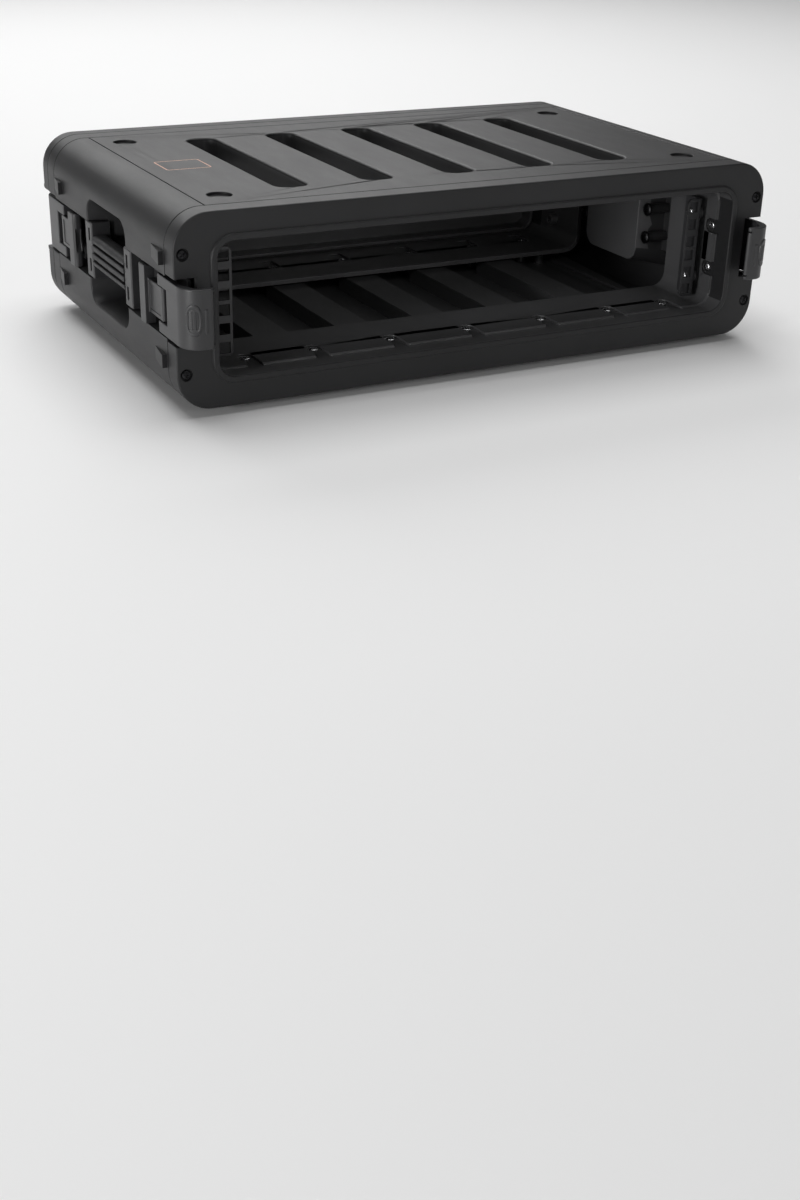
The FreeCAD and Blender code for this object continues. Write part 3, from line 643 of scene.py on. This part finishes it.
def pad_height(across, rise):
    """Raised ring round a sunk field with three upright grooves; below the surface outside the oval."""
    power = PAD_OVAL_POWER
    reach = (abs(across / PAD_HALF[0]) ** power + abs(rise / PAD_HALF[1]) ** power) ** (1 / power)
    inward = (1.0 - reach) * PAD_HALF[0]
    height = -0.5 + 1.3 * step_up(inward, -0.1, 0.6) - 0.4 * step_up(inward, 1.5, 0.5)
    for middle in (-PAD_GROOVE_PITCH, 0.0, PAD_GROOVE_PITCH):
        beside = step_up(0.95 - abs(across - middle), 0.0, 0.35)
        within = step_up(6.9 - abs(rise), 0.0, 0.5)
        height -= 1.5 * beside * within
    return height


def thumb_pad():
    """Closed patch that follows the bend of the hook."""
    columns, rows = 54, 58
    start, stop = math.radians(34.0), math.radians(90.0)
    arc = []
    length = 0.0
    before = None
    for i in range(columns + 1):
        angle = start + (stop - start) * i / columns
        here = on_bend(angle)
        if before:
            length += math.dist(before, here)
        before = here
        arc.append((angle, length))
    half_length = length / 2
    verts = []
    for layer in (0, 1):
        for angle, along in arc:
            across = along - half_length
            for j in range(rows + 1):
                rise = (PAD_HALF[1] + 0.6) * (2.0 * j / rows - 1.0)
                lift = pad_height(across, rise) if layer else -2.0
                s, t = on_bend(angle, lift)
                verts.append((s, -FACE_Y + t, LATCH_Z + rise))
    stride = rows + 1
    sheet = (columns + 1) * stride
    faces = []
    for i in range(columns):
        for j in range(rows):
            a = i * stride + j
            ring = (a, a + stride, a + stride + 1, a + 1)
            faces.append(ring)
            faces.append(tuple(sheet + k for k in reversed(ring)))
    for i in range(columns):
        for j in (0, rows):
            a, b = i * stride + j, (i + 1) * stride + j
            faces.append((a, b, sheet + b, sheet + a))
    for j in range(rows):
        for i in (0, columns):
            a, b = i * stride + j, i * stride + j + 1
            faces.append((a, b, sheet + b, sheet + a))
    pad = mesh_object("thumb_pad", verts, faces)
    face_outward(pad)
    return pad


def hook_ridge():
    """Slim upright bead beside the pad, with a small knob at its top."""
    rings = []
    front = -FACE_Y + HOOK_FACE_T
    for z, share in RIDGE_STEPS:
        ring = []
        for i in range(17):
            angle = math.pi * i / 16
            ring.append((RIDGE_S + RIDGE_R[0] * share * math.cos(angle),
                         front - RIDGE_R[1] * share * math.sin(angle), z))
        for turn in (-1, 1):
            ring.append((RIDGE_S + turn * RIDGE_FOOT[0], front + RIDGE_FOOT[1], z))
        rings.append(ring)
    return loft("hook_ridge", rings)


def hook_share(mid):
    """Leave the narrow slots in the tip sharp."""
    in_slot = TIP_SLOT_Z[0] - 0.5 < abs(mid.z - LATCH_Z) < TIP_SLOT_Z[1] + 0.5 and mid.x < TIP_S - 0.1
    return 0.0 if in_slot else 1.0


def hook_shape():
    """L-shaped hook with a window for the lever, a knuckle round the pin and a pad on its bend."""
    s0, s1 = HOOK_ARM_S
    outline = [(s0, HOOK_END_T), (s1, HOOK_END_T)]
    outline += [on_bend(math.pi / 2 * i / 24) for i in range(25)]
    for i in range(1, 9):
        angle = math.radians(75.0) * i / 8
        outline.append((TIP_S - TIP_R * math.sin(angle), HOOK_FACE_T + TIP_R - TIP_R * math.cos(angle)))
    outline += HOOK_INNER
    low, high = LATCH_Z - LATCH_HALF, LATCH_Z + LATCH_HALF
    hook = prism("hook", at_latch(outline), "z", low, high)
    web = latch_block((LINK[0], s0 + 1.0), (LINK[1] - KNUCKLE_R, HOOK_END_T), (low, high))
    link = (LINK[0], -FACE_Y + LINK[1])
    knuckle = rod("knuckle", link, "z", KNUCKLE_R, low, high)
    window = latch_block((270.0, 290.0), (21.0, 50.0), (LATCH_Z - WINDOW_HALF, LATCH_Z + WINDOW_HALF))
    bore = rod("bore", link, "z", PIN_R + PIN_PLAY, low - 1.0, high + 1.0)
    near, far = TIP_SLOT_Z
    notches = [latch_block((257.0, 262.4), (-19.2, -12.0), (LATCH_Z + a, LATCH_Z + b))
               for a, b in ((near, far), (-far, -near))]
    carve(hook, add=[web, knuckle], cut=[window, bore, *notches])
    soften(hook, HOOK_EDGE, 3, hook_share)
    carve(hook, add=[thumb_pad(), hook_ridge()])
    smooth(hook)
    return hook


def lever_shape():
    """Lever with a sunk panel on its plate and a shallow thumb hollow in the end of its bar."""
    lever = copy_of("front_right_latch_lever", "lever")
    panel = latch_block((284.2, 290.0), (36.4, 60.8), (LATCH_Z - 10.6, LATCH_Z + 10.6))
    end = -FACE_Y + BAR_END_T
    outline = []
    for i in range(13):
        rise = SCOOP_HALF * (2.0 * i / 12 - 1.0)
        depth = SCOOP_DEPTH * (1.0 - (rise / SCOOP_HALF) ** 2)
        outline.append((end - depth, LATCH_Z + rise))
    outline += [(end + 3.0, LATCH_Z + SCOOP_HALF), (end + 3.0, LATCH_Z - SCOOP_HALF)]
    scoop = prism("scoop", outline, "x", 281.3, 286.6)
    carve(lever, cut=[panel, scoop])
    soften(lever, LEVER_EDGE, 3)
    return lever


hook_pattern = hook_shape()
lever_pattern = lever_shape()
for front_back, y_sign in (("front", 1), ("rear", -1)):
    for side, x_sign in (("left", -1), ("right", 1)):
        corner = front_back + "_" + side
        base = copy_of(corner + "_latch_base", corner + "_base_plate")
        soften(base, BASE_EDGE, 2)
        install(base, "case", LATCH, "latch_plastic", corner + "_latch_base")
        lever = mirrored(corner + "_lever_plate", lever_pattern, x_sign, y_sign)
        smooth(lever)
        install(lever, corner + "_lever", LATCH, "latch_plastic", corner + "_latch_lever")
        hook = mirrored(corner + "_hook_plate", hook_pattern, x_sign, y_sign)
        smooth(hook)
        install(hook, corner + "_hook", LATCH, "latch_plastic", corner + "_latch_hook")
        for part, body in (("latch_base_pin", "case"), ("latch_hook_pin", corner + "_lever")):
            pin = copy_of(corner + "_" + part, corner + "_" + part + "_rod")
            soften(pin, PIN_EDGE, 2)
            install(pin, body, PIN, "pin_steel", corner + "_" + part)
        foot = copy_of(corner + "_foot", corner + "_rubber_foot")
        soften(foot, FOOT_EDGE, 3)
        install(foot, "case", FOOT, "foot_rubber", corner + "_foot")
bpy.data.objects.remove(hook_pattern)
bpy.data.objects.remove(lever_pattern)


# ---- screws and bolts ----
def islands(node):
    """Corner points in mm of each separate solid in a node."""
    bm = bmesh.new()
    bm.from_mesh(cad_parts[node].data)
    bmesh.ops.remove_doubles(bm, verts=bm.verts, dist=1e-6)
    left = set(bm.verts)
    groups = []
    for start in list(bm.verts):
        if start not in left:
            continue
        left.discard(start)
        group, queue = [], [start]
        while queue:
            vert = queue.pop()
            group.append(vert.co / MM)
            for edge in vert.link_edges:
                other = edge.other_vert(vert)
                if other in left:
                    left.discard(other)
                    queue.append(other)
        groups.append(group)
    bm.free()
    return groups


def screw_sizes(points):
    """Axis, centre line, head end, head radius, head height, shank radius and length of one screw."""
    low = Vector([min(p[i] for p in points) for i in range(3)])
    high = Vector([max(p[i] for p in points) for i in range(3)])
    size = high - low
    axis = max(range(3), key=lambda i: size[i])
    middle = (low + high) / 2
    flat = [i for i in range(3) if i != axis]
    radii = [math.hypot(p[flat[0]] - middle[flat[0]], p[flat[1]] - middle[flat[1]]) for p in points]
    head_r = max(radii)
    rim = [p[axis] for p, r in zip(points, radii) if r > 0.93 * head_r]
    sign = 1 if (max(rim) + min(rim)) / 2 > middle[axis] else -1
    top = high[axis] if sign > 0 else low[axis]
    under = min(rim) if sign > 0 else max(rim)
    end = low[axis] if sign > 0 else high[axis]
    shank_r = max(r for p, r in zip(points, radii) if abs(p[axis] - end) < 0.01)
    return axis, sign, middle, top, head_r, abs(top - under), shank_r, abs(top - end)


def lathe(name, profile, sides=40):
    """Solid of revolution about z from (radius, height) points, closed at both ends."""
    return loft(name, [[(r * math.cos(2 * math.pi * i / sides), r * math.sin(2 * math.pi * i / sides), z)
                        for i in range(sides)] for r, z in profile])


def screw_shape(head_r, head_h, shank_r, length):
    """Domed cross-recess screw with its head's top at z = 0."""
    profile = [(shank_r * 0.8, -length), (shank_r, -length + 0.6), (shank_r, -head_h), (head_r, -head_h)]
    wall = 0.35 * head_h
    profile.append((head_r, -head_h + wall))
    for i in range(1, 10):
        angle = math.pi / 2 * i / 10
        profile.append((head_r * math.cos(angle), -head_h + wall + (head_h - wall) * math.sin(angle)))
    profile.append((0.12 * head_r, -0.004))
    screw = lathe("screw", profile)
    arm, half, depth = 0.56 * head_r, 0.13 * head_r, 0.62 * head_h
    tools = [block("recess", (-arm, arm), (-half, half), (-depth, 1.0)),
             block("recess", (-half, half), (-arm, arm), (-depth, 1.0))]
    carve(screw, cut=tools)
    return screw


def screw_set(node, name, material):
    pieces = []
    patterns = {}
    for number, points in enumerate(islands(node)):
        axis, sign, middle, top, head_r, head_h, shank_r, length = screw_sizes(points)
        key = (round(head_r, 2), round(head_h, 2), round(shank_r, 2), round(length, 2))
        if key not in patterns:
            patterns[key] = screw_shape(*key)
        piece = bpy.data.objects.new("screw", patterns[key].data.copy())
        bpy.context.scene.collection.objects.link(piece)
        out = Vector([sign if i == axis else 0.0 for i in range(3)])
        place = Vector([top if i == axis else middle[i] for i in range(3)]) * MM
        spin = Matrix.Rotation(math.radians(SCREW_SPIN * number), 4, "Z")
        aim = out.to_track_quat("Z", "Y").to_matrix().to_4x4()
        piece.data.transform(Matrix.Translation(place) @ aim @ spin)
        pieces.append(piece)
    for pattern in patterns.values():
        bpy.data.objects.remove(pattern)
    whole = joined(name, pieces)
    smooth(whole)
    install(whole, "case", material, "fastener_steel", node)


SCREWS = {
    "frame_corner_screws": BLACK_SCREW, "frame_side_screws": BRIGHT_SCREW, "frame_lip_screws": BRIGHT_SCREW,
    "rail_screws": BRIGHT_SCREW, "latch_screws": BLACK_SCREW, "handle_bolts": BLACK_SCREW,
    "foot_screws": BRIGHT_SCREW,
}
for node, material in SCREWS.items():
    screw_set(node, node + "_set", material)


# ---- floor, light and camera ----
def stage_material(name, tone, rough):
    n = Nodes(name)
    n.link(n.ramp(n.noise(0.7, 2.0), [(0.3, tuple(0.99 * c for c in tone)), (0.7, tone)]),
           n.shader.inputs["Base Color"])
    n.link(n.span(n.noise(3.0, 2.0), rough - 0.03, rough + 0.03), n.shader.inputs["Roughness"])
    n.shader.inputs["Specular IOR Level"].default_value = 0.2
    return n.mat


def floor_and_backdrop():
    """One pale sheet: flat floor that curves up into a backdrop."""
    front, bend_from, bend_r, height, half_width = -6000.0, 3600.0, 1400.0, 4500.0, 7000.0
    below_feet = 0.4
    profile = [(front, 0.0), (bend_from, 0.0)]
    for i in range(1, 13):
        angle = math.radians(90.0 * i / 12)
        profile.append((bend_from + bend_r * math.sin(angle), bend_r * (1 - math.cos(angle))))
    profile.append((bend_from + bend_r, height))
    verts = []
    for x in (-half_width, half_width):
        verts += [(x, y, z - below_feet) for y, z in profile]
    count = len(profile)
    faces = [(i, i + 1, count + i + 1, count + i) for i in range(count - 1)]
    sheet = mesh_object("studio_sheet", verts, faces)
    sheet.data.shade_smooth()
    sheet.data.materials.append(stage_material("studio_paper", (0.88, 0.88, 0.88), 0.85))


floor_and_backdrop()


def area_light(name, place, target, size, power):
    """White rectangular light in metres and watts, aimed at target."""
    data = bpy.data.lights.new(name, "AREA")
    data.shape = "RECTANGLE"
    data.size = size[0]
    data.size_y = size[1]
    data.energy = power
    light = bpy.data.objects.new(name, data)
    bpy.context.scene.collection.objects.link(light)
    light.location = place
    aim = Vector(target) - Vector(place)
    light.rotation_mode = "QUATERNION"
    light.rotation_quaternion = aim.to_track_quat("-Z", "Y")


area_light("overhead_back", (0.3, 2.8, 2.0), (0.0, 0.0, 0.1), (3.2, 1.4), 44.0)
area_light("overhead", (0.0, 0.5, 3.1), (0.0, 0.0, 0.0), (3.4, 2.8), 82.0)
area_light("front_low", (0.5, -3.0, 1.1), (0.0, 0.0, 0.08), (2.2, 1.0), 9.0)
area_light("left_strip", (-2.1, -0.85, 0.28), (-0.2, -0.1, 0.08), (0.3, 0.5), 24.0)
# lifts the inside of the rack bay, which the studio lights hardly reach
area_light("bay_glow", (0.0, -0.128, 0.134), (0.0, 0.05, 0.03), (0.42, 0.02), 0.14)

world = bpy.data.worlds.new("studio_world")
bpy.context.scene.world = world
world.use_nodes = True
background = world.node_tree.nodes["Background"]
background.inputs["Color"].default_value = (1.0, 1.0, 1.0, 1.0)
background.inputs["Strength"].default_value = 0.06

CAMERA_PLACE = (-0.69745, -1.30807, 0.44893)
CAMERA_YAW = math.radians(28.369)
CAMERA_PITCH = math.radians(26.677)
CAMERA_ROLL = math.radians(-1.665)
CAMERA_LENS = 47.743

camera_data = bpy.data.cameras.new("studio_camera")
camera_data.lens = CAMERA_LENS
camera_data.sensor_width = 36.0
camera = bpy.data.objects.new("studio_camera", camera_data)
bpy.context.scene.collection.objects.link(camera)
bpy.context.scene.camera = camera
forward = Vector((math.sin(CAMERA_YAW) * math.cos(CAMERA_PITCH),
                  math.cos(CAMERA_YAW) * math.cos(CAMERA_PITCH),
                  -math.sin(CAMERA_PITCH)))
level_right = Vector((math.cos(CAMERA_YAW), -math.sin(CAMERA_YAW), 0.0))
level_down = forward.cross(level_right)
right = math.cos(CAMERA_ROLL) * level_right + math.sin(CAMERA_ROLL) * level_down
down = -math.sin(CAMERA_ROLL) * level_right + math.cos(CAMERA_ROLL) * level_down
turn = Matrix((right, -down, -forward)).transposed().to_4x4()
camera.matrix_world = Matrix.Translation(CAMERA_PLACE) @ turn

bpy.context.scene.view_settings.view_transform = "Standard"
bpy.context.scene.view_settings.look = "None"
